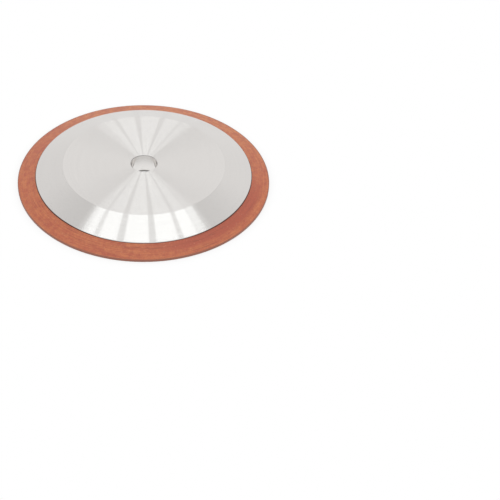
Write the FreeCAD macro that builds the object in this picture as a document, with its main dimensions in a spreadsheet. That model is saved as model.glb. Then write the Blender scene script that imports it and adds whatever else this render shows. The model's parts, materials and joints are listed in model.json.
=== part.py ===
import FreeCAD, Part
import os
import Sketcher

# A diamond sharpening disc that lies on its flat face. An aluminium hub is turned to a clamping
# face and a cone, a grey backing band fills a seat in its underside, and a resin-bonded abrasive
# rim surrounds both. Lengths are in millimetres. The origin is the centre of the underside.

SIZES = {
    "disc_diameter": 125.0,
    "disc_thickness": 10.0,
    "bore_diameter": 13.0,
    "bore_edge_break": 0.1,
    "clamp_face_diameter": 80.0,
    "clamp_face_edge_radius": 0.3,
    "cone_foot_height": 4.3,
    "cone_foot_edge_break": 0.25,
    "rim_width": 8.75,
    "rim_root_thickness": 3.85,
    "rim_edge_thickness": 1.2,
    "rim_edge_break": 0.15,
    "band_width": 6.3,
    "band_depth": 2.4,
    "band_seat_edge_break": 0.2,
}

# Radii that two pieces share, so that the bonded faces always meet.
HUB_RADIUS = "(Sizes.disc_diameter / 2 - Sizes.rim_width)"
SEAT_RADIUS = f"({HUB_RADIUS} - Sizes.band_width)"

# How close an edge must lie to its named radius and height to be picked.
PICK_TOLERANCE = 1e-4

document = FreeCAD.newDocument("sharpening_disc")


def make_size_sheet():
    """Writes each driving dimension into the sheet, with its name as the cell's alias."""
    sheet = document.addObject("Spreadsheet::Sheet", "Sizes")
    for row, (name, size) in enumerate(SIZES.items(), start=1):
        sheet.set(f"A{row}", name)
        sheet.set(f"B{row}", str(size))
        sheet.setAlias(f"B{row}", name)
    document.recompute()
    return sheet


def new_body(name):
    """Adds the body of one sub-part. Its label also names its file."""
    body = document.addObject("PartDesign::Body", name)
    body.Label = name
    body.Placement = FreeCAD.Placement()
    return body


def new_sketch(body, name, plane_role):
    """Adds a sketch on one of the body's own origin planes."""
    sketch = body.newObject("Sketcher::SketchObject", name)
    planes = [plane for plane in body.Origin.OriginFeatures if plane.Role == plane_role]
    sketch.AttachmentSupport = [(planes[0], "")]
    sketch.MapMode = "FlatFace"
    return sketch


def bind_distance(sketch, kind, corner, name, expression):
    """Holds a corner's distance from the axis or the base plane by an expression."""
    constraint = sketch.addConstraint(Sketcher.Constraint(kind, -1, 1, corner, 1, 1.0))
    sketch.renameConstraint(constraint, name)
    sketch.setExpression(f"Constraints.{name}", expression)


def draw_half_section(body, name, corners):
    """Draws a closed half section, for turning about the body's axis.

    Each named corner has the expression of its radius and of its height, and None there puts it
    on the axis or on the base plane. The corners start in a zigzag, and their constraints take
    them to their places.
    """
    sketch = new_sketch(body, name, "XZ_Plane")
    starts = [FreeCAD.Vector(1 + index, 1 + index % 2, 0) for index in range(len(corners))]
    for index, start in enumerate(starts):
        end = starts[(index + 1) % len(starts)]
        sketch.addGeometry(Part.LineSegment(start, end))
    for index in range(len(corners)):
        following = (index + 1) % len(corners)
        sketch.addConstraint(Sketcher.Constraint("Coincident", index, 2, following, 1))
    for index, (corner, (radius, height)) in enumerate(corners.items()):
        if radius is None:
            sketch.addConstraint(Sketcher.Constraint("PointOnObject", index, 1, -2))
        else:
            bind_distance(sketch, "DistanceX", index, f"{corner}_radius", radius)
        if height is None:
            sketch.addConstraint(Sketcher.Constraint("PointOnObject", index, 1, -1))
        else:
            bind_distance(sketch, "DistanceY", index, f"{corner}_height", height)
    return sketch


def turn(body, kind, name, sketch):
    """Turns a half section a full turn about the axis, as added or as cut material."""
    feature = body.newObject(kind, name)
    feature.Profile = sketch
    feature.ReferenceAxis = (sketch, ["V_Axis"])
    feature.Angle = 360
    document.recompute()
    return feature


def rings_at(feature, radius, height):
    """Names a feature's circular edges of the given radius and height."""
    names = []
    for index, edge in enumerate(feature.Shape.Edges, start=1):
        curve = edge.Curve
        if not isinstance(curve, Part.Circle):
            continue
        radius_error = abs(curve.Radius - radius)
        height_error = abs(curve.Center.z - height)
        if max(radius_error, height_error) < PICK_TOLERANCE:
            names.append(f"Edge{index}")
    if not names:
        raise RuntimeError(f"{feature.Name} has no edge at radius {radius}, height {height}")
    return names


def dress_edges(body, kind, name, base, rings, size_property, size_name):
    """Breaks or rounds the edges of the base feature by a size from the sheet."""
    feature = body.newObject(kind, name)
    feature.Base = (base, rings)
    feature.setExpression(size_property, f"Sizes.{size_name}")
    document.recompute()
    return feature


def cut_bore(body, name, base):
    """Cuts the bore for the arbor through the body, upward from the base plane."""
    sketch = new_sketch(body, f"{name}_circle", "XY_Plane")
    circle = Part.Circle(FreeCAD.Vector(0, 0, 0), FreeCAD.Vector(0, 0, 1), 1.0)
    sketch.addGeometry(circle)
    sketch.addConstraint(Sketcher.Constraint("Coincident", 0, 3, -1, 1))
    diameter = sketch.addConstraint(Sketcher.Constraint("Diameter", 0, 2.0))
    sketch.renameConstraint(diameter, "bore_diameter")
    sketch.setExpression("Constraints.bore_diameter", "Sizes.bore_diameter")
    bore = body.newObject("PartDesign::Pocket", name)
    bore.Profile = sketch
    bore.Type = "ThroughAll"
    bore.Reversed = True
    document.recompute()
    if bore.Shape.Volume >= base.Shape.Volume:
        raise RuntimeError(f"{name} cut nothing")
    return bore


def make_hub(sizes):
    """The aluminium hub: a turned blank with a bore, a seat for the band and broken edges."""
    body = new_body("hub")
    blank_section = draw_half_section(body, "blank_section", {
        "base_centre": (None, None),
        "base_edge": (HUB_RADIUS, None),
        "cone_foot": (HUB_RADIUS, "Sizes.cone_foot_height"),
        "clamp_face_edge": ("Sizes.clamp_face_diameter / 2", "Sizes.disc_thickness"),
        "clamp_face_centre": (None, "Sizes.disc_thickness"),
    })
    blank = turn(body, "PartDesign::Revolution", "turned_blank", blank_section)
    seat_section = draw_half_section(body, "seat_section", {
        "seat_wall_foot": (SEAT_RADIUS, None),
        "seat_edge_foot": (HUB_RADIUS, None),
        "seat_edge_top": (HUB_RADIUS, "Sizes.band_depth"),
        "seat_wall_top": (SEAT_RADIUS, "Sizes.band_depth"),
    })
    seat = turn(body, "PartDesign::Groove", "band_seat", seat_section)
    if seat.Shape.Volume >= blank.Shape.Volume:
        raise RuntimeError("band_seat cut nothing")
    bore = cut_bore(body, "arbor_bore", seat)

    hub_radius = sizes.disc_diameter / 2 - sizes.rim_width
    bore_radius = sizes.bore_diameter / 2
    bore_rings = rings_at(bore, bore_radius, 0)
    bore_rings += rings_at(bore, bore_radius, sizes.disc_thickness)
    feature = dress_edges(
        body, "PartDesign::Chamfer", "bore_edges", bore, bore_rings, "Size", "bore_edge_break"
    )
    seat_rings = rings_at(feature, hub_radius - sizes.band_width, 0)
    feature = dress_edges(
        body, "PartDesign::Chamfer", "seat_edge", feature, seat_rings, "Size", "band_seat_edge_break"
    )
    foot_rings = rings_at(feature, hub_radius, sizes.cone_foot_height)
    feature = dress_edges(
        body, "PartDesign::Chamfer", "cone_foot_edge", feature, foot_rings, "Size",
        "cone_foot_edge_break",
    )
    ridge_rings = rings_at(feature, sizes.clamp_face_diameter / 2, sizes.disc_thickness)
    dress_edges(
        body, "PartDesign::Fillet", "clamp_face_edge", feature, ridge_rings, "Radius",
        "clamp_face_edge_radius",
    )
    return body


def make_backing_band():
    """The grey band of filled resin, which fills the hub's seat flush with the underside."""
    body = new_body("backing_band")
    section = draw_half_section(body, "band_section", {
        "inner_foot": (SEAT_RADIUS, None),
        "outer_foot": (HUB_RADIUS, None),
        "outer_top": (HUB_RADIUS, "Sizes.band_depth"),
        "inner_top": (SEAT_RADIUS, "Sizes.band_depth"),
    })
    turn(body, "PartDesign::Revolution", "moulded_band", section)
    return body


def make_abrasive_rim(sizes):
    """The abrasive rim: flat below, and thinning outward on the cone's side to a blunt edge."""
    body = new_body("abrasive_rim")
    section = draw_half_section(body, "rim_section", {
        "root_foot": (HUB_RADIUS, None),
        "edge_foot": ("Sizes.disc_diameter / 2", None),
        "edge_top": ("Sizes.disc_diameter / 2", "Sizes.rim_edge_thickness"),
        "root_top": (HUB_RADIUS, "Sizes.rim_root_thickness"),
    })
    rim = turn(body, "PartDesign::Revolution", "moulded_rim", section)
    outer_rings = rings_at(rim, sizes.disc_diameter / 2, 0)
    outer_rings += rings_at(rim, sizes.disc_diameter / 2, sizes.rim_edge_thickness)
    dress_edges(
        body, "PartDesign::Chamfer", "outer_edges", rim, outer_rings, "Size", "rim_edge_break"
    )
    return body


def check_document(bodies):
    """Stops the build if a feature failed, or if a sub-part's shape is empty or not valid."""
    document.recompute()
    for item in document.Objects:
        if "Invalid" in item.State or "Error" in item.State:
            raise RuntimeError(f"{item.Name} failed: {item.State}")
    for body in bodies:
        if body.Shape.isNull() or not body.Shape.isValid():
            raise RuntimeError(f"{body.Label} has no valid shape")
        if len(body.Shape.Solids) != 1:
            raise RuntimeError(f"{body.Label} is not one solid")


def write_parts(bodies):
    """Writes each sub-part's solid to its own file and prints its volume."""
    os.makedirs("parts", exist_ok=True)
    for body in bodies:
        body.Shape.exportStep(os.path.join("parts", f"{body.Label}.step"))
        print(f"{body.Label}: {body.Shape.Volume:.1f} mm3")


size_sheet = make_size_sheet()
sub_parts = [make_hub(size_sheet), make_backing_band(), make_abrasive_rim(size_sheet)]
check_document(sub_parts)
write_parts(sub_parts)
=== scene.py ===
import json
import math

import bpy
from mathutils import Matrix, Vector


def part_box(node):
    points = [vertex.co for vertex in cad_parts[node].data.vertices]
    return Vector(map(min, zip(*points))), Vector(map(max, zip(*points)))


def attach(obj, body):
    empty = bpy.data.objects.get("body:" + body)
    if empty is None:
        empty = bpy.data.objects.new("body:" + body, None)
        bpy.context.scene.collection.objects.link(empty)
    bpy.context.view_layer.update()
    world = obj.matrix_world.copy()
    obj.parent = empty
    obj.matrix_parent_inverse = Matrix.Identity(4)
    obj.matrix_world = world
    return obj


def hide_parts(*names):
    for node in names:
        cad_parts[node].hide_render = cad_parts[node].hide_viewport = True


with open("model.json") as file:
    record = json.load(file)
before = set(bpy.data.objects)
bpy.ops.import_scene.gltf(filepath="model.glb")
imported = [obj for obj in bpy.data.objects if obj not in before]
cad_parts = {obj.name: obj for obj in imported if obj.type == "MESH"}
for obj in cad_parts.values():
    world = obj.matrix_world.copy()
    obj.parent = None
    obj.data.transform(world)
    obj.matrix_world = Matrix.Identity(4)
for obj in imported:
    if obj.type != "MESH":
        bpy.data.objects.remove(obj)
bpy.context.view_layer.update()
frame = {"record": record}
scene = bpy.context.scene

# The camera stands in front of the disc and looks down at it from 38 degrees. It is aimed past
# the right front edge, so that the disc lies in the upper left of the frame, and rolled a little.
CAMERA_DISTANCE = 0.7183
CAMERA_ELEVATION = math.radians(38.087)
CAMERA_AIM = Vector((0.04983, -0.05429, 0.0))
CAMERA_ROLL = math.radians(3.361)
CAMERA_LENS = 103.03

camera_data = bpy.data.cameras.new("camera")
camera_data.sensor_width = 36.0
camera_data.lens = CAMERA_LENS
camera = bpy.data.objects.new("camera", camera_data)
scene.collection.objects.link(camera)
scene.camera = camera
camera.location = CAMERA_DISTANCE * Vector((0, -math.cos(CAMERA_ELEVATION), math.sin(CAMERA_ELEVATION)))
camera.rotation_mode = "QUATERNION"
camera_heading = (CAMERA_AIM - camera.location).to_track_quat("-Z", "Y")
camera.rotation_quaternion = camera_heading @ Matrix.Rotation(CAMERA_ROLL, 3, "Z").to_quaternion()

# The hub is aluminium, turned from bar in a lathe: a flat clamping face round a plain bore, a
# cone down to the foot, and a flat underside with a seat for the backing band. The tool's point
# leaves fine grooves round every face, so each face throws light in and out from the axis.
MM = 0.001
HUB_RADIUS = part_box("hub")[1][0] / MM
HUB_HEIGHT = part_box("hub")[1][2] / MM
BORE_RADIUS = frame["record"]["mounts"][0]["dims"]["r_mm"]
BORE_EDGE_BREAK = 0.1
CLAMP_FACE_RADIUS = 40.0
CLAMP_FACE_EDGE_RADIUS = 0.3
CONE_FOOT_HEIGHT = 4.3
CONE_FOOT_EDGE_BREAK = 0.25
CONE_ANGLE = math.atan2(HUB_HEIGHT - CONE_FOOT_HEIGHT, HUB_RADIUS - CLAMP_FACE_RADIUS)
BAND_WIDTH = 6.3
SEAT_RADIUS = HUB_RADIUS - BAND_WIDTH
SEAT_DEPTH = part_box("backing_band")[1][2] / MM
SEAT_EDGE_BREAK = 0.2

LATHE_SEGMENTS = 256
EDGE_STEPS = 4
SHADE_MARGIN = 0.3
SMOOTH_ANGLE = math.radians(20)
MERGE_DISTANCE = 1e-6


def turn_on_lathe(name, outline):
    """Turns a closed outline of (radius, height) pairs in millimetres about the axis."""
    bpy.ops.object.select_all(action="DESELECT")
    radius, height = outline[0]
    bpy.ops.mesh.primitive_circle_add(
        vertices=LATHE_SEGMENTS, radius=radius * MM, fill_type="NOTHING", location=(0, 0, 0)
    )
    piece = bpy.context.object
    piece.name = name
    piece.data.name = name
    bpy.ops.object.mode_set(mode="EDIT")
    bpy.ops.mesh.select_all(action="SELECT")
    bpy.ops.transform.translate(value=(0, 0, height * MM))
    for next_radius, next_height in outline[1:] + outline[:1]:
        bpy.ops.mesh.extrude_region_move(
            TRANSFORM_OT_translate={"value": (0, 0, (next_height - height) * MM)}
        )
        scale = next_radius / radius
        bpy.ops.transform.resize(value=(scale, scale, 1), center_override=(0, 0, 0))
        radius, height = next_radius, next_height
    bpy.ops.mesh.select_all(action="SELECT")
    bpy.ops.mesh.remove_doubles(threshold=MERGE_DISTANCE)
    bpy.ops.mesh.normals_make_consistent(inside=False)
    bpy.ops.object.mode_set(mode="OBJECT")
    bpy.ops.object.shade_smooth_by_angle(angle=SMOOTH_ANGLE)
    return piece


def hub_outline():
    """The hub's section: clamping face, rounded ridge, cone, foot, seat, underside and bore.

    A point a little way off each end of the ridge's round keeps the shading of the faces flat.
    """
    down_cone = (math.cos(CONE_ANGLE), -math.sin(CONE_ANGLE))
    tangent = CLAMP_FACE_EDGE_RADIUS * math.tan(CONE_ANGLE / 2)
    round_centre = (CLAMP_FACE_RADIUS - tangent, HUB_HEIGHT - CLAMP_FACE_EDGE_RADIUS)
    outline = [
        (BORE_RADIUS + BORE_EDGE_BREAK, HUB_HEIGHT),
        (round_centre[0] - SHADE_MARGIN, HUB_HEIGHT),
    ]
    for step in range(EDGE_STEPS + 1):
        angle = CONE_ANGLE * step / EDGE_STEPS
        outline.append((
            round_centre[0] + CLAMP_FACE_EDGE_RADIUS * math.sin(angle),
            round_centre[1] + CLAMP_FACE_EDGE_RADIUS * math.cos(angle),
        ))
    past_round = tangent + SHADE_MARGIN
    outline += [
        (CLAMP_FACE_RADIUS + past_round * down_cone[0], HUB_HEIGHT + past_round * down_cone[1]),
        (
            HUB_RADIUS - CONE_FOOT_EDGE_BREAK * down_cone[0],
            CONE_FOOT_HEIGHT - CONE_FOOT_EDGE_BREAK * down_cone[1],
        ),
        (HUB_RADIUS, CONE_FOOT_HEIGHT - CONE_FOOT_EDGE_BREAK),
        (HUB_RADIUS, SEAT_DEPTH),
        (SEAT_RADIUS, SEAT_DEPTH),
        (SEAT_RADIUS, SEAT_EDGE_BREAK),
        (SEAT_RADIUS - SEAT_EDGE_BREAK, 0),
        (BORE_RADIUS + BORE_EDGE_BREAK, 0),
        (BORE_RADIUS, BORE_EDGE_BREAK),
        (BORE_RADIUS, HUB_HEIGHT - BORE_EDGE_BREAK),
    ]
    return outline


def connect(tree, source, socket):
    """Links a node's output into a socket, or sets the socket to a plain value."""
    if isinstance(source, bpy.types.NodeSocket):
        tree.links.new(source, socket)
    else:
        socket.default_value = source


def math_node(tree, operation, *values):
    """Adds a math node and returns its result."""
    node = tree.nodes.new("ShaderNodeMath")
    node.operation = operation
    for socket, value in zip(node.inputs, values):
        connect(tree, value, socket)
    return node.outputs[0]


def vector_node(tree, operation, *values, scale=None):
    """Adds a vector math node and returns its result, a number for a length or a dot product."""
    node = tree.nodes.new("ShaderNodeVectorMath")
    node.operation = operation
    for socket, value in zip(node.inputs, values):
        connect(tree, value, socket)
    if scale is not None:
        connect(tree, scale, node.inputs["Scale"])
    return node.outputs["Value" if operation in ("LENGTH", "DOT_PRODUCT") else "Vector"]


def split_node(tree, vector):
    """Adds a node that splits a vector and returns its X, Y and Z outputs."""
    node = tree.nodes.new("ShaderNodeSeparateXYZ")
    tree.links.new(vector, node.inputs[0])
    return node.outputs


def step_node(tree, value, low, high):
    """Takes a value smoothly from 0 at low to 1 at high."""
    node = tree.nodes.new("ShaderNodeMapRange")
    node.interpolation_type = "SMOOTHSTEP"
    connect(tree, value, node.inputs["Value"])
    connect(tree, low, node.inputs["From Min"])
    connect(tree, high, node.inputs["From Max"])
    return node.outputs["Result"]


def between_node(tree, value, low, high, softness):
    """Is 1 where the value is between low and high, with soft ends."""
    rise = step_node(tree, value, low - softness, low + softness)
    fall = step_node(tree, value, high - softness, high + softness)
    return math_node(tree, "SUBTRACT", rise, fall)


def blend_node(tree, amount, low, high):
    """Goes from low to high by an amount from 0 to 1, for numbers."""
    node = tree.nodes.new("ShaderNodeMix")
    node.data_type = "FLOAT"
    connect(tree, amount, node.inputs["Factor"])
    connect(tree, low, node.inputs["A"])
    connect(tree, high, node.inputs["B"])
    return node.outputs["Result"]


def tint_node(tree, amount, colour, other_colour):
    """Goes from a colour to another by an amount from 0 to 1."""
    node = tree.nodes.new("ShaderNodeMix")
    node.data_type = "RGBA"
    node.clamp_factor = True
    connect(tree, amount, node.inputs[0])
    connect(tree, colour, node.inputs[6])
    connect(tree, other_colour, node.inputs[7])
    return node.outputs[2]


def new_material(name):
    """Starts a material and returns it with its node tree and its shader."""
    material = bpy.data.materials.new(name)
    material.use_nodes = True
    return material, material.node_tree, material.node_tree.nodes["Principled BSDF"]


def new_effect(name, inputs, outputs):
    """Starts a shader node group with number inputs, and returns it with its two ends."""
    tree = bpy.data.node_groups.new(name, "ShaderNodeTree")
    tree.interface.new_socket("Place", in_out="INPUT", socket_type="NodeSocketVector")
    for label in inputs:
        tree.interface.new_socket(label, in_out="INPUT", socket_type="NodeSocketFloat")
    for label, kind in outputs.items():
        tree.interface.new_socket(label, in_out="OUTPUT", socket_type=kind)
    return tree, tree.nodes.new("NodeGroupInput").outputs, tree.nodes.new("NodeGroupOutput").inputs


def use_effect(tree, effect, place, **values):
    """Places an effect in a material or in another effect and returns its outputs."""
    node = tree.nodes.new("ShaderNodeGroup")
    node.node_tree = effect
    tree.links.new(place, node.inputs["Place"])
    for label, value in values.items():
        connect(tree, value, node.inputs[label.capitalize()])
    return node.outputs


def object_place(tree):
    """The point's place on the piece, in metres."""
    return tree.nodes.new("ShaderNodeTexCoord").outputs["Object"]


def make_lathe_place():
    """The effect that measures a point as a lathe does: out from the axis, up, and round it."""
    tree, given, result = new_effect("lathe_place", (), {
        "Radius": "NodeSocketFloat", "Height": "NodeSocketFloat",
        "Outward": "NodeSocketVector", "Around": "NodeSocketVector",
    })
    level_place = vector_node(tree, "MULTIPLY", given["Place"], (1, 1, 0))
    outward = vector_node(tree, "NORMALIZE", level_place)
    radius = vector_node(tree, "LENGTH", level_place)
    height = split_node(tree, given["Place"])["Z"]
    tree.links.new(math_node(tree, "DIVIDE", radius, MM), result["Radius"])
    tree.links.new(math_node(tree, "DIVIDE", height, MM), result["Height"])
    tree.links.new(outward, result["Outward"])
    tree.links.new(vector_node(tree, "CROSS_PRODUCT", (0, 0, 1), outward), result["Around"])
    return tree


def make_lathe_streaks():
    """The effect of streaks that a lathe's tool leaves: Spacing millimetres apart across the
    face, and longer round it where Turn is low. Streak is about 0.5 and mostly 0.25 to 0.75."""
    tree, given, result = new_effect("lathe_streaks", ("Spacing", "Turn", "Detail"), {
        "Streak": "NodeSocketFloat",
    })
    lathe = use_effect(tree, lathe_place, given["Place"])
    across = math_node(tree, "SUBTRACT", lathe["Radius"], lathe["Height"])
    across = math_node(tree, "DIVIDE", across, given["Spacing"])
    along = vector_node(tree, "SCALE", lathe["Outward"], scale=given["Turn"])
    lifted = vector_node(tree, "SCALE", (0, 0, 1), scale=across)
    noise = tree.nodes.new("ShaderNodeTexNoise")
    noise.inputs["Scale"].default_value = 1.0
    tree.links.new(vector_node(tree, "ADD", along, lifted), noise.inputs["Vector"])
    tree.links.new(given["Detail"], noise.inputs["Detail"])
    tree.links.new(noise.outputs["Fac"], result["Streak"])
    return tree


lathe_place = make_lathe_place()
lathe_streaks = make_lathe_streaks()

ALUMINIUM_DULL = (0.715, 0.692, 0.672, 1)
ALUMINIUM_BRIGHT = (0.805, 0.779, 0.756, 1)
CONE_BRIGHTNESS = 0.1
FACE_BRIGHTNESS = 0.6
RING_BRIGHTNESS = 0.4
METAL_ROUGHNESS = 0.05
SCRATCH_ROUGHNESS = 0.25
DULL_ROUGHNESS = 0.4
FACE_RING_SPACING = 0.35
CONE_RING_SPACING = 0.7
RING_SLOPE = 0.05
GROOVE_PITCH = 0.08
FLAT_REACH = math.radians(34)
CONE_REACH = math.radians(81)
CONE_OUTWARD_REACH = math.radians(17)
CONE_GROOVE_SLOPE = 0.075
CONE_GROOVE_WALL = 0.87
CONE_GROOVE_WALL_SLOPE = 1.2
WALL_GROOVE_SLOPE = 0.15


def turned_grooves(tree, lathe, normal, on_cone, on_flat, rings):
    """Tilts a turned face in and out from the axis, as the grooves of the lathe's tool do.

    Across each groove the slope runs through the tangent of a steady angle, so gentle slopes are
    common and steep ones rare. The cone's grooves are shallower, and lean mostly towards the
    axis, because it was cut on the way up. Each of them ends in a short, steep wall.
    """
    feed = math_node(tree, "SUBTRACT", lathe["Radius"], lathe["Height"])
    groove = math_node(tree, "FRACT", math_node(tree, "DIVIDE", feed, GROOVE_PITCH))
    outward_reach = blend_node(tree, on_cone, FLAT_REACH, CONE_OUTWARD_REACH)
    whole_reach = math_node(tree, "ADD", outward_reach, blend_node(tree, on_cone, FLAT_REACH, CONE_REACH))
    lean = math_node(tree, "SUBTRACT", math_node(tree, "MULTIPLY", groove, whole_reach), outward_reach)
    groove_slope = blend_node(tree, on_flat, WALL_GROOVE_SLOPE, 1.0)
    groove_slope = blend_node(tree, on_cone, groove_slope, CONE_GROOVE_SLOPE)
    slope = math_node(tree, "MULTIPLY", math_node(tree, "TANGENT", lean), groove_slope)
    groove_wall = math_node(tree, "MULTIPLY", step_node(tree, groove, CONE_GROOVE_WALL, 1.0), on_cone)
    slope = math_node(tree, "MULTIPLY_ADD", groove_wall, CONE_GROOVE_WALL_SLOPE, slope)
    ring_slope = math_node(tree, "MULTIPLY_ADD", rings, 2 * RING_SLOPE, -RING_SLOPE)
    slope = math_node(tree, "ADD", slope, ring_slope)
    up_the_face = vector_node(tree, "CROSS_PRODUCT", normal, lathe["Around"])
    tilt = vector_node(tree, "SCALE", up_the_face, scale=slope)
    return vector_node(tree, "NORMALIZE", vector_node(tree, "ADD", normal, tilt))


REAMED_BRIGHT = (0.765, 0.743, 0.722, 1)
REAMED_DULL = (0.640, 0.623, 0.606, 1)
SCUFFED_STREAKS = (0.45, 0.7)
SCUFF_STRENGTH = 0.5
DULL_SIDE = (0.5, 0.9)
DULL_HEIGHT = (2.5, 8.0)
# The dark ring round the bore's mouth is painted shade: ragged, and widest and darkest at the back.
MOUTH_SHADE_DARK = (0.34, 0.33, 0.32, 1)
MOUTH_SHADE_SIDE = (-0.5, 0.87, 0.0)
MOUTH_SHADE_TURN = (-0.9, 1.0)
MOUTH_SHADE_REACH = (0.06, 0.38)
MOUTH_SHADE_SOFTNESS = 0.02
MOUTH_SHADE_STREAKS = (0.22, 0.5)
MOUTH_SHADE_DEPTH_SIDE = (0.1, 0.7)
MOUTH_SHADE_DEPTH = (0.62, 1.0)
# The darkening at the foot of the bore's back wall is painted shade.
BORE_BOTTOM_SHADE_DARK = (0.22, 0.21, 0.20, 1)
BORE_BOTTOM_SHADE_SIDE = (0.75, 0.95)
BORE_BOTTOM_SHADE_HEIGHT = (1.1, 0.9)
BORE_MARGIN = 0.01


def bore_wear_and_shade(tree, place, lathe, tone):
    """Adds the bore's wear and painted shade to the tone, and also gives how far the painted shade
    dulls the metal.

    The reamed wall is scuffed all round, and its back is dulled towards the mouth. Painted shade
    darkens the back of the wall at its foot, and runs raggedly round the mouth, widest and darkest
    at the back.
    """
    in_bore = math_node(tree, "LESS_THAN", lathe["Radius"], BORE_RADIUS + BORE_MARGIN)
    to_back = split_node(tree, lathe["Outward"])["Y"]
    scuffs = use_effect(tree, lathe_streaks, place, spacing=1.2, turn=4.0, detail=2.0)["Streak"]
    scuffs = math_node(tree, "MULTIPLY", step_node(tree, scuffs, *SCUFFED_STREAKS), SCUFF_STRENGTH)
    near_mouth = step_node(tree, lathe["Height"], *DULL_HEIGHT)
    dulled = math_node(tree, "MULTIPLY", step_node(tree, to_back, *DULL_SIDE), near_mouth)
    reamed = tint_node(tree, math_node(tree, "MAXIMUM", dulled, scuffs), REAMED_BRIGHT, REAMED_DULL)
    tone = tint_node(tree, in_bore, tone, reamed)

    # Painted shade runs raggedly round the bore's mouth, widest and darkest at the back.
    turned = vector_node(tree, "DOT_PRODUCT", lathe["Outward"], MOUTH_SHADE_SIDE)
    mouth_shade_width = blend_node(tree, step_node(tree, turned, *MOUTH_SHADE_TURN), *MOUTH_SHADE_REACH)
    mouth_shade_end = math_node(tree, "ADD", mouth_shade_width, BORE_RADIUS)
    past_end = math_node(tree, "SUBTRACT", lathe["Radius"], mouth_shade_end)
    before_end = step_node(tree, past_end, MOUTH_SHADE_SOFTNESS, -MOUTH_SHADE_SOFTNESS)
    on_mouth = math_node(tree, "MULTIPLY", before_end, math_node(tree, "SUBTRACT", 1.0, in_bore))
    mouth_shade = use_effect(tree, lathe_streaks, place, spacing=0.3, turn=9.0, detail=2.0)["Streak"]
    mouth_shade = math_node(tree, "MULTIPLY", on_mouth, step_node(tree, mouth_shade, *MOUTH_SHADE_STREAKS))
    mouth_shade_depth = blend_node(tree, step_node(tree, to_back, *MOUTH_SHADE_DEPTH_SIDE), *MOUTH_SHADE_DEPTH)
    mouth_shade = math_node(tree, "MULTIPLY", mouth_shade, mouth_shade_depth)

    # Painted shade darkens the bore's back wall near its foot.
    bore_bottom_shade = step_node(tree, lathe["Height"], *BORE_BOTTOM_SHADE_HEIGHT)
    bore_bottom_shade = math_node(tree, "MULTIPLY", bore_bottom_shade, step_node(tree, to_back, *BORE_BOTTOM_SHADE_SIDE))
    bore_bottom_shade = math_node(tree, "MULTIPLY", bore_bottom_shade, in_bore)
    shade_share = math_node(tree, "MAXIMUM", mouth_shade, bore_bottom_shade)
    tone = tint_node(tree, shade_share, tone, tint_node(tree, bore_bottom_shade, MOUTH_SHADE_DARK, BORE_BOTTOM_SHADE_DARK))
    return tone, shade_share


# The dark line along the cone's foot, where the hub meets the rim, is painted shade.
FOOT_SHADE_DARK = (0.13, 0.075, 0.065, 1)
FOOT_SHADE_SIDE = (0.3, 0.8)
FOOT_SHADE_WIDTH = (0.08, 0.33)
FOOT_SHADE_SOFTNESS = 0.06


def foot_shade_line(tree, lathe):
    """Is 1 in the line of painted shade along the cone's foot, which is widest at the two sides."""
    to_side = math_node(tree, "ABSOLUTE", split_node(tree, lathe["Outward"])["X"])
    width = blend_node(tree, step_node(tree, to_side, *FOOT_SHADE_SIDE), *FOOT_SHADE_WIDTH)
    start = math_node(tree, "SUBTRACT", HUB_RADIUS, width)
    end = math_node(tree, "ADD", start, FOOT_SHADE_SOFTNESS)
    return step_node(tree, lathe["Radius"], start, end)


FLAT_STEEPNESS = (0.7, 0.8)
CONE_MARGIN = 0.04
SCRATCHED_RINGS = (0.6, 0.9)


def turned_aluminium():
    """Bright aluminium, turned in fine rings, with the wear of its bore, and painted shade in the bore and
    along the cone's foot.
    """
    material, tree, shader = new_material("turned_aluminium")
    shader.inputs["Metallic"].default_value = 1.0
    place = object_place(tree)
    lathe = use_effect(tree, lathe_place, place)
    normal = tree.nodes.new("ShaderNodeNewGeometry").outputs["Normal"]
    steepness = vector_node(tree, "DOT_PRODUCT", normal, (0, 0, 1))
    on_flat = step_node(tree, math_node(tree, "ABSOLUTE", steepness), *FLAT_STEEPNESS)
    cone_steepness = math.cos(CONE_ANGLE)
    cone_limits = (cone_steepness - CONE_MARGIN, cone_steepness + CONE_MARGIN)
    on_cone = between_node(tree, steepness, *cone_limits, CONE_MARGIN / 2)
    spacing = blend_node(tree, on_cone, FACE_RING_SPACING, CONE_RING_SPACING)
    rings = use_effect(tree, lathe_streaks, place, spacing=spacing, turn=1.5, detail=1.0)["Streak"]
    tilted = turned_grooves(tree, lathe, normal, on_cone, on_flat, rings)
    tree.links.new(tilted, shader.inputs["Normal"])

    face_brightness = blend_node(tree, on_cone, FACE_BRIGHTNESS, CONE_BRIGHTNESS)
    brightness = math_node(tree, "MULTIPLY_ADD", rings, RING_BRIGHTNESS, face_brightness)
    tone = tint_node(tree, brightness, ALUMINIUM_DULL, ALUMINIUM_BRIGHT)
    # The bore gets its scuffs, and painted shade at its mouth and at its foot.
    tone, bore_shade = bore_wear_and_shade(tree, place, lathe, tone)
    # The line along the cone's foot is painted shade.
    in_foot_shade = foot_shade_line(tree, lathe)
    tree.links.new(tint_node(tree, in_foot_shade, tone, FOOT_SHADE_DARK), shader.inputs["Base Color"])
    scratched = math_node(tree, "MULTIPLY", on_cone, step_node(tree, rings, *SCRATCHED_RINGS))
    roughness = blend_node(tree, scratched, METAL_ROUGHNESS, SCRATCH_ROUGHNESS)
    # The painted shade in the bore and along the cone's foot is also made rougher.
    painted_shade = math_node(tree, "MAXIMUM", bore_shade, in_foot_shade)
    tree.links.new(blend_node(tree, painted_shade, roughness, DULL_ROUGHNESS), shader.inputs["Roughness"])
    return material


hub = turn_on_lathe("hub_turned", hub_outline())
hub.data.materials.append(turned_aluminium())
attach(hub, "root")
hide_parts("hub")

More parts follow.
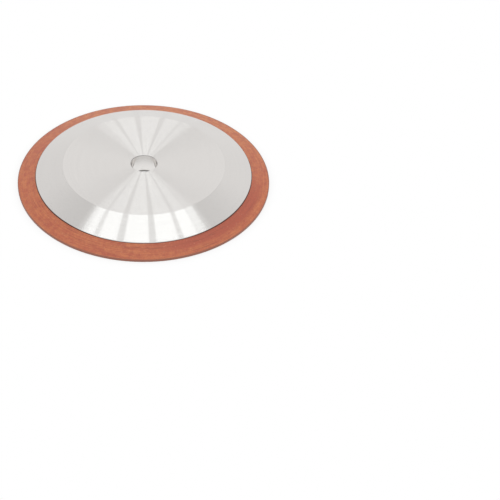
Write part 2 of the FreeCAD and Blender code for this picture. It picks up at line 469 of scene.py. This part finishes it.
# The backing band is grey resin filled with metal powder, moulded into the seat in the hub's
# underside and ground flush with it. A thin cream bead of bond shows along its outer edge.
BOND_GAP = 0.02
BAND_GREY = (0.455, 0.465, 0.460, 1)
BAND_PALE = (0.520, 0.530, 0.525, 1)
BAND_SPECK = (0.23, 0.23, 0.23, 1)
BOND_CREAM = (0.74, 0.60, 0.46, 1)
BOND_WIDTH = 0.25
BOND_SOFTNESS = 0.05
GRAIN_NOISE = (0.3, 0.7)
SPECK_EDGE = (0.2, 0.45)


def band_outline():
    """The band's plain section, clear of the hub and the rim by the bond."""
    inner = SEAT_RADIUS + BOND_GAP
    outer = HUB_RADIUS - BOND_GAP
    top = SEAT_DEPTH - BOND_GAP
    return [(inner, 0), (inner, top), (outer, top), (outer, 0)]


def make_grain():
    """The effect of fine grain in a moulded face, from 0 to 1: Size is that of its patches in
    millimetres."""
    tree, given, result = new_effect("moulded_grain", ("Size",), {"Grain": "NodeSocketFloat"})
    noise = tree.nodes.new("ShaderNodeTexNoise")
    tree.links.new(given["Place"], noise.inputs["Vector"])
    tree.links.new(math_node(tree, "DIVIDE", 1 / MM, given["Size"]), noise.inputs["Scale"])
    noise.inputs["Detail"].default_value = 3.0
    noise.inputs["Roughness"].default_value = 0.6
    tree.links.new(step_node(tree, noise.outputs["Fac"], *GRAIN_NOISE), result["Grain"])
    return tree


def make_specks():
    """The effect of grit that shows in a moulded face: Speck is 1 at dots, one in each cell of
    Spread millimetres, and Share is the share of the cells that have one."""
    tree, given, result = new_effect("moulded_specks", ("Spread", "Share"), {"Speck": "NodeSocketFloat"})
    cells = tree.nodes.new("ShaderNodeTexVoronoi")
    tree.links.new(given["Place"], cells.inputs["Vector"])
    tree.links.new(math_node(tree, "DIVIDE", 1 / MM, given["Spread"]), cells.inputs["Scale"])
    chosen = math_node(tree, "LESS_THAN", split_node(tree, cells.outputs["Color"])["X"], given["Share"])
    near = math_node(tree, "SUBTRACT", 1.0, step_node(tree, cells.outputs["Distance"], *SPECK_EDGE))
    tree.links.new(math_node(tree, "MULTIPLY", chosen, near), result["Speck"])
    return tree


moulded_grain = make_grain()
moulded_specks = make_specks()


def filled_resin():
    """Matt grey resin with a fine light grain, a few dark specks and the cream bond at its edge."""
    material, tree, shader = new_material("filled_resin")
    shader.inputs["Roughness"].default_value = 0.6
    place = object_place(tree)
    lathe = use_effect(tree, lathe_place, place)
    grain = use_effect(tree, moulded_grain, place, size=0.45)["Grain"]
    tone = tint_node(tree, grain, BAND_GREY, BAND_PALE)
    specks = use_effect(tree, moulded_specks, place, spread=0.8, share=0.03)["Speck"]
    tone = tint_node(tree, specks, tone, BAND_SPECK)
    wave = use_effect(tree, lathe_streaks, place, spacing=50.0, turn=7.0, detail=1.0)["Streak"]
    bond_start = math_node(tree, "MULTIPLY_ADD", wave, -2 * BOND_WIDTH, HUB_RADIUS)
    bond_end = math_node(tree, "ADD", bond_start, BOND_SOFTNESS)
    tone = tint_node(tree, step_node(tree, lathe["Radius"], bond_start, bond_end), tone, BOND_CREAM)
    tree.links.new(tone, shader.inputs["Base Color"])
    return material


band = turn_on_lathe("band_moulded", band_outline())
band.data.materials.append(filled_resin())
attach(band, "root")
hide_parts("backing_band")

# The abrasive rim is diamond grit in an orange-brown resin, moulded round the hub. The cone's
# side is dressed to a taper, which leaves streaks round it. Painted shade darkens the outer wall
# and its edge, and a painted sheen makes the back of the dressed side paler.
RIM_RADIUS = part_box("abrasive_rim")[1][0] / MM
RIM_ROOT_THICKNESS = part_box("abrasive_rim")[1][2] / MM
RIM_EDGE_THICKNESS = 1.2
RIM_EDGE_BREAK = 0.15
RIM_ANGLE = math.atan2(RIM_ROOT_THICKNESS - RIM_EDGE_THICKNESS, RIM_RADIUS - HUB_RADIUS)
RIM_ORANGE = (0.685, 0.219, 0.087, 1)
# The paler tone at the back of the dressed side is a painted sheen.
RIM_SHEEN = (0.760, 0.270, 0.096, 1)
RIM_RED = (0.500, 0.112, 0.060, 1)
RIM_DARK = (0.28, 0.07, 0.04, 1)
# The dark tone of the outer wall and its edge is painted shade, over a wider band at the back.
RIM_EDGE_SHADE = (0.33, 0.12, 0.075, 1)
GRIT_PALE = (0.78, 0.45, 0.28, 1)
SHEEN_SIDE = (0.26, 0.97, 0.0)
SHEEN_TURN = (0.3, 0.85)
RED_SIDE = (0.71, -0.71, 0.0)
RED_TURN = (0.66, 0.95)
RED_ZONE_EDGE = HUB_RADIUS + 5.0
RED_ZONE_SOFTNESS = 1.0
WEAR_SIDE = (0.26, -0.97, 0.0)
WEAR_TURN = (0.75, 0.95)
WEAR_RING = (56.1, 56.5)
WEAR_RING_SOFTNESS = 0.15
DRESSED_STEEPNESS = (0.5, 0.7)
STREAK_STRAY = 3.0
MOTTLED_STREAKS = (0.35, 0.65)
STREAK_MOTTLE = 0.4
PATCH_MOTTLE = 0.5
DARK_STREAKS = (0.52, 0.75)
DARK_STREAK_STRENGTH = 0.5
GRAIN_STRENGTH = 0.26
GRIT_STRENGTH = 0.16
EDGE_SHADE_SIDE = (-0.4, 0.4)
EDGE_SHADE_WIDTH = (0.3, 0.6)
GRIT_HEIGHT = 0.03
GRIT_RELIEF = 0.6


def rim_outline():
    """The rim's section: flat below, and thinning outward to a blunt edge with broken corners."""
    return [
        (HUB_RADIUS, 0),
        (RIM_RADIUS - RIM_EDGE_BREAK, 0),
        (RIM_RADIUS, RIM_EDGE_BREAK),
        (RIM_RADIUS, RIM_EDGE_THICKNESS - RIM_EDGE_BREAK),
        (
            RIM_RADIUS - RIM_EDGE_BREAK * math.cos(RIM_ANGLE),
            RIM_EDGE_THICKNESS + RIM_EDGE_BREAK * math.sin(RIM_ANGLE),
        ),
        (HUB_RADIUS, RIM_ROOT_THICKNESS),
    ]


def bonded_abrasive():
    """Orange-brown resin full of fine grit: streaked round the dressed side, which has a painted sheen
    at the back of the disc and is redder on another side, plain below, and darkened by painted shade
    on the outer wall."""
    material, tree, shader = new_material("bonded_abrasive")
    shader.inputs["Roughness"].default_value = 0.45
    place = object_place(tree)
    lathe = use_effect(tree, lathe_place, place)
    radius = lathe["Radius"]
    normal = tree.nodes.new("ShaderNodeNewGeometry").outputs["Normal"]
    steepness = vector_node(tree, "DOT_PRODUCT", normal, (0, 0, 1))
    dressed = step_node(tree, steepness, *DRESSED_STEEPNESS)
    grain = use_effect(tree, moulded_grain, place, size=0.7)["Grain"]
    patches = use_effect(tree, moulded_grain, place, size=2.6)["Grain"]
    specks = use_effect(tree, moulded_specks, place, spread=0.9, share=0.12)["Speck"]
    streaks = use_effect(tree, lathe_streaks, place, spacing=1.1, turn=6.0, detail=2.0)["Streak"]
    fine_streaks = use_effect(tree, lathe_streaks, place, spacing=0.4, turn=3.0, detail=2.0)["Streak"]
    strayed = math_node(tree, "MULTIPLY_ADD", streaks, STREAK_STRAY, radius)
    strayed = math_node(tree, "SUBTRACT", strayed, STREAK_STRAY / 2)

    def side_share(side, turn):
        """How far a point of the dressed side is turned towards one side of the disc."""
        turned = vector_node(tree, "DOT_PRODUCT", lathe["Outward"], side)
        return math_node(tree, "MULTIPLY", step_node(tree, turned, *turn), dressed)

    def tint_more(tone, share, strength, other_tone):
        """Takes the tone towards another where the share is high, by no more than the strength."""
        return tint_node(tree, math_node(tree, "MULTIPLY", share, strength), tone, other_tone)

    # Painted sheen: the dressed side is paler towards the back of the disc.
    tone = tint_node(tree, side_share(SHEEN_SIDE, SHEEN_TURN), RIM_ORANGE, RIM_SHEEN)
    mottled = math_node(tree, "MULTIPLY", step_node(tree, streaks, *MOTTLED_STREAKS), dressed)
    patched = math_node(tree, "MULTIPLY", patches, PATCH_MOTTLE)
    mottled = math_node(tree, "MULTIPLY_ADD", mottled, STREAK_MOTTLE, patched)
    tone = tint_node(tree, mottled, tone, RIM_RED)
    near_hub = step_node(
        tree, strayed, RED_ZONE_EDGE + RED_ZONE_SOFTNESS, RED_ZONE_EDGE - RED_ZONE_SOFTNESS
    )
    red_share = math_node(tree, "MULTIPLY", side_share(RED_SIDE, RED_TURN), near_hub)
    tone = tint_node(tree, red_share, tone, RIM_RED)
    wear_ring = between_node(tree, strayed, *WEAR_RING, WEAR_RING_SOFTNESS)
    wear_share = math_node(tree, "MULTIPLY", side_share(WEAR_SIDE, WEAR_TURN), wear_ring)
    dark_streaks = math_node(tree, "MULTIPLY", step_node(tree, fine_streaks, *DARK_STREAKS), dressed)
    dark_share = math_node(tree, "MAXIMUM", dark_streaks, wear_share)
    tone = tint_more(tone, dark_share, DARK_STREAK_STRENGTH, RIM_DARK)
    tone = tint_more(tone, grain, GRAIN_STRENGTH, RIM_DARK)
    tone = tint_more(tone, specks, GRIT_STRENGTH, GRIT_PALE)
    to_back = split_node(tree, lathe["Outward"])["Y"]
    # Painted shade darkens the outer wall and the edge above it, over a wider band at the back.
    edge_shade_width = blend_node(tree, step_node(tree, to_back, *EDGE_SHADE_SIDE), *EDGE_SHADE_WIDTH)
    edge_shade_start = math_node(tree, "SUBTRACT", RIM_RADIUS, edge_shade_width)
    edge_shade_end = math_node(tree, "ADD", edge_shade_start, RIM_EDGE_BREAK)
    tone = tint_node(tree, step_node(tree, radius, edge_shade_start, edge_shade_end), tone, RIM_EDGE_SHADE)
    tree.links.new(tone, shader.inputs["Base Color"])

    bump = tree.nodes.new("ShaderNodeBump")
    bump.inputs["Distance"].default_value = GRIT_HEIGHT * MM
    bump.inputs["Strength"].default_value = GRIT_RELIEF
    height = math_node(tree, "ADD", grain, math_node(tree, "MULTIPLY", fine_streaks, dressed))
    tree.links.new(height, bump.inputs["Height"])
    tree.links.new(bump.outputs["Normal"], shader.inputs["Normal"])
    return material


rim = turn_on_lathe("rim_moulded", rim_outline())
rim.data.materials.append(bonded_abrasive())
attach(rim, "root")
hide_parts("abrasive_rim")

# The floor is a plain white sheet. It stays white to the camera and in the metal's gloss, and
# keeps the disc's shadow close to it. Seen from below it is clear, so that the underside shows.
FLOOR_SIZE = 6.0
FLOOR_DROP = 0.02
FLOOR_WHITE = (0.96, 0.96, 0.96, 1)
FLOOR_GLOSS_LEVEL = 0.89
FLOOR_SHADOW_WIDTH = 5.0
FLOOR_SHADOW_DEPTH = 0.2
FLOOR_SHADOW_SOFTNESS = 0.1
bpy.ops.object.select_all(action="DESELECT")
bpy.ops.mesh.primitive_plane_add(size=FLOOR_SIZE, location=(0, 0, -FLOOR_DROP * MM))
floor = bpy.context.object
floor.name = "floor"
floor_material, floor_tree, floor_shader = new_material("floor_white")
floor_shader.inputs["Base Color"].default_value = FLOOR_WHITE
floor_shader.inputs["Roughness"].default_value = 0.9
floor_shader.inputs["Specular IOR Level"].default_value = 0.0
floor_path = floor_tree.nodes.new("ShaderNodeLightPath").outputs
floor_radius = use_effect(floor_tree, lathe_place, object_place(floor_tree))["Radius"]
under_disc = between_node(floor_tree, floor_radius, BORE_RADIUS, RIM_RADIUS, FLOOR_SHADOW_SOFTNESS)
shadow_end = RIM_RADIUS + FLOOR_SHADOW_WIDTH / 2
beside_disc = between_node(floor_tree, floor_radius, RIM_RADIUS / 2, shadow_end, FLOOR_SHADOW_WIDTH / 2)
beside_disc = math_node(floor_tree, "MULTIPLY", beside_disc, FLOOR_SHADOW_DEPTH)
shadow = math_node(floor_tree, "MAXIMUM", under_disc, beside_disc)
white_rays = math_node(floor_tree, "MAXIMUM", floor_path["Is Camera Ray"], floor_path["Is Glossy Ray"])
white_share = math_node(floor_tree, "MULTIPLY", white_rays, math_node(floor_tree, "SUBTRACT", 1.0, shadow))
# Inside the bore the floor glows full white in the metal's gloss though it lies in shade there: painted
# light on the bore's wall.
bore_floor_glow = math_node(floor_tree, "LESS_THAN", floor_radius, BORE_RADIUS)
whitest = math_node(floor_tree, "MAXIMUM", floor_path["Is Camera Ray"], bore_floor_glow)


def mix_shaders(tree, amount, shader, other_shader):
    """Goes from a shader to another by an amount from 0 to 1."""
    node = tree.nodes.new("ShaderNodeMixShader")
    tree.links.new(amount, node.inputs["Fac"])
    tree.links.new(shader, node.inputs[1])
    tree.links.new(other_shader, node.inputs[2])
    return node.outputs[0]


floor_glow = floor_tree.nodes.new("ShaderNodeEmission")
floor_level = blend_node(floor_tree, whitest, FLOOR_GLOSS_LEVEL, 1.0)
floor_tree.links.new(floor_level, floor_glow.inputs["Strength"])
white_floor = mix_shaders(floor_tree, white_share, floor_shader.outputs[0], floor_glow.outputs[0])
below = floor_tree.nodes.new("ShaderNodeNewGeometry").outputs["Backfacing"]
passed_below = math_node(floor_tree, "GREATER_THAN", floor_path["Transparent Depth"], 0.5)
clear_share = math_node(floor_tree, "MAXIMUM", below, passed_below)
clear = floor_tree.nodes.new("ShaderNodeBsdfTransparent").outputs[0]
floor_surface = mix_shaders(floor_tree, clear_share, white_floor, clear)
floor_tree.links.new(floor_surface, floor_tree.nodes["Material Output"].inputs["Surface"])
floor.data.materials.append(floor_material)

# The studio is a white room. The metal mirrors it brightest near the floor, a little brighter on
# the right than on the left, and dimmer at the ceiling. The camera sees it as plain white.
ROOM_LEVEL = 0.893
ROOM_LEAN = 0.045
HORIZON_LIFT = 0.05
HORIZON_TOP = 0.35
CEILING_DROP = 0.143
CEILING_START = 0.54
CEILING_FULL = 0.90
world = bpy.data.worlds.new("studio")
scene.world = world
world.use_nodes = True
world_tree = world.node_tree
background = world_tree.nodes["Background"]
background.inputs["Color"].default_value = (1, 1, 1, 1)
heading = split_node(world_tree, world_tree.nodes.new("ShaderNodeTexCoord").outputs["Generated"])
room = math_node(world_tree, "MULTIPLY_ADD", heading["X"], ROOM_LEAN, ROOM_LEVEL + HORIZON_LIFT)
above_horizon = step_node(world_tree, heading["Z"], 0.0, HORIZON_TOP)
room = math_node(world_tree, "MULTIPLY_ADD", above_horizon, -HORIZON_LIFT, room)
on_ceiling = step_node(world_tree, heading["Z"], CEILING_START, CEILING_FULL)
room = math_node(world_tree, "MULTIPLY_ADD", on_ceiling, -CEILING_DROP, room)
light_path = world_tree.nodes.new("ShaderNodeLightPath").outputs
seen = math_node(world_tree, "MAXIMUM", light_path["Is Camera Ray"], light_path["Is Transmission Ray"])
world_tree.links.new(blend_node(world_tree, seen, room, 1.0), background.inputs["Strength"])

# The soft box hangs over the disc, a little behind it. It is brightest along a curved line, which
# the cone's front mirrors. Its ribs fan out from behind the disc, and the turned grooves draw them
# out into dark rays. A faint glow spills past its two sides.
SOFT_BOX_HEIGHT = 1.6
SOFT_BOX_BACK = 0.12
SOFT_BOX_WIDTH = 2.4
SOFT_BOX_LENGTH = 1.4
SOFT_BOX_LEVEL = 0.775
SOFT_BOX_EDGE_LEVEL = 0.50
SOFT_BOX_COLOUR = (0.92, 0.98, 1.0)
SOFT_BOX_SIDES = (-36.6, 36.9)
SIDE_CURVE = 65.0
SIDE_GLOW_WIDTH = 2.6
SIDE_GLOW_LEVEL = 0.2
BRIGHT_LINE_START = 0.25
BRIGHT_LINE_RISE = 0.000254
BRIGHT_LINE_REACH = (0.34, 0.12)
RIB_SOFTNESS = 0.3

# Each rib's direction and width in degrees, and how dark it is on the bright line and beside it.
RIBS = (
    (-35.0, 4.2, 0.12, 0.8), (-27.2, 2.7, 0.40, 1.0), (-13.4, 4.1, 0.48, 1.0), (4.6, 4.0, 0.49, 1.0),
    (20.5, 2.9, 0.47, 1.0), (30.5, 1.4, 0.16, 0.3), (33.7, 6.8, 0.16, 1.0),
)
soft_box_data = bpy.data.lights.new("soft_box", "AREA")
soft_box_data.shape = "RECTANGLE"
soft_box_data.size = SOFT_BOX_WIDTH
soft_box_data.size_y = SOFT_BOX_LENGTH
soft_box_data.energy = math.pi * SOFT_BOX_WIDTH * SOFT_BOX_LENGTH
soft_box_data.color = SOFT_BOX_COLOUR
soft_box = bpy.data.objects.new("soft_box", soft_box_data)
scene.collection.objects.link(soft_box)
soft_box.location = (0, SOFT_BOX_BACK, SOFT_BOX_HEIGHT)
soft_box_data.use_nodes = True
box_tree = soft_box_data.node_tree
box_place = box_tree.nodes.new("ShaderNodeNewGeometry").outputs["Position"]
box_parts = split_node(box_tree, box_place)

# The ray angle of a point of the box is the direction from the disc's axis in which the turned
# grooves throw that point's light to the camera.
distance = vector_node(box_tree, "LENGTH", box_place)
reach = math_node(box_tree, "MULTIPLY", distance, math.cos(CAMERA_ELEVATION))
depth = math_node(box_tree, "SUBTRACT", reach, box_parts["Y"])
ray_slope = math_node(box_tree, "DIVIDE", box_parts["X"], depth)
ray_angle = math_node(box_tree, "DEGREES", math_node(box_tree, "ARCTANGENT", ray_slope))
angle_squared = math_node(box_tree, "MULTIPLY", ray_angle, ray_angle)
bright_line = math_node(box_tree, "MULTIPLY_ADD", angle_squared, BRIGHT_LINE_RISE, BRIGHT_LINE_START)
off_line = math_node(box_tree, "ABSOLUTE", math_node(box_tree, "SUBTRACT", box_parts["Y"], bright_line))
near_line = step_node(box_tree, off_line, *BRIGHT_LINE_REACH)
narrowing = math_node(box_tree, "MULTIPLY", math_node(box_tree, "MULTIPLY", off_line, off_line), SIDE_CURVE)
widened = math_node(box_tree, "ADD", math_node(box_tree, "ABSOLUTE", ray_angle), narrowing)
side_angle = math_node(box_tree, "MULTIPLY", math_node(box_tree, "SIGN", ray_angle), widened)
panel = between_node(box_tree, side_angle, *SOFT_BOX_SIDES, RIB_SOFTNESS)
glow_sides = (SOFT_BOX_SIDES[0] - SIDE_GLOW_WIDTH, SOFT_BOX_SIDES[1] + SIDE_GLOW_WIDTH)
glow = between_node(box_tree, side_angle, *glow_sides, 2 * RIB_SOFTNESS)
level = math_node(box_tree, "MAXIMUM", panel, math_node(box_tree, "MULTIPLY", glow, SIDE_GLOW_LEVEL))
for rib_angle, rib_width, line_shade, edge_shade in RIBS:
    rib_sides = (rib_angle - rib_width / 2, rib_angle + rib_width / 2)
    rib = between_node(box_tree, ray_angle, *rib_sides, RIB_SOFTNESS)
    rib_shade = blend_node(box_tree, near_line, edge_shade, line_shade)
    rib_shade = math_node(box_tree, "MULTIPLY", rib, rib_shade)
    level = math_node(box_tree, "MULTIPLY", level, math_node(box_tree, "SUBTRACT", 1.0, rib_shade))
full_level = blend_node(box_tree, near_line, SOFT_BOX_EDGE_LEVEL, SOFT_BOX_LEVEL)
box_strength = math_node(box_tree, "MULTIPLY", level, full_level)
box_tree.links.new(box_strength, box_tree.nodes["Emission"].inputs["Strength"])

scene.view_settings.view_transform = "Standard"
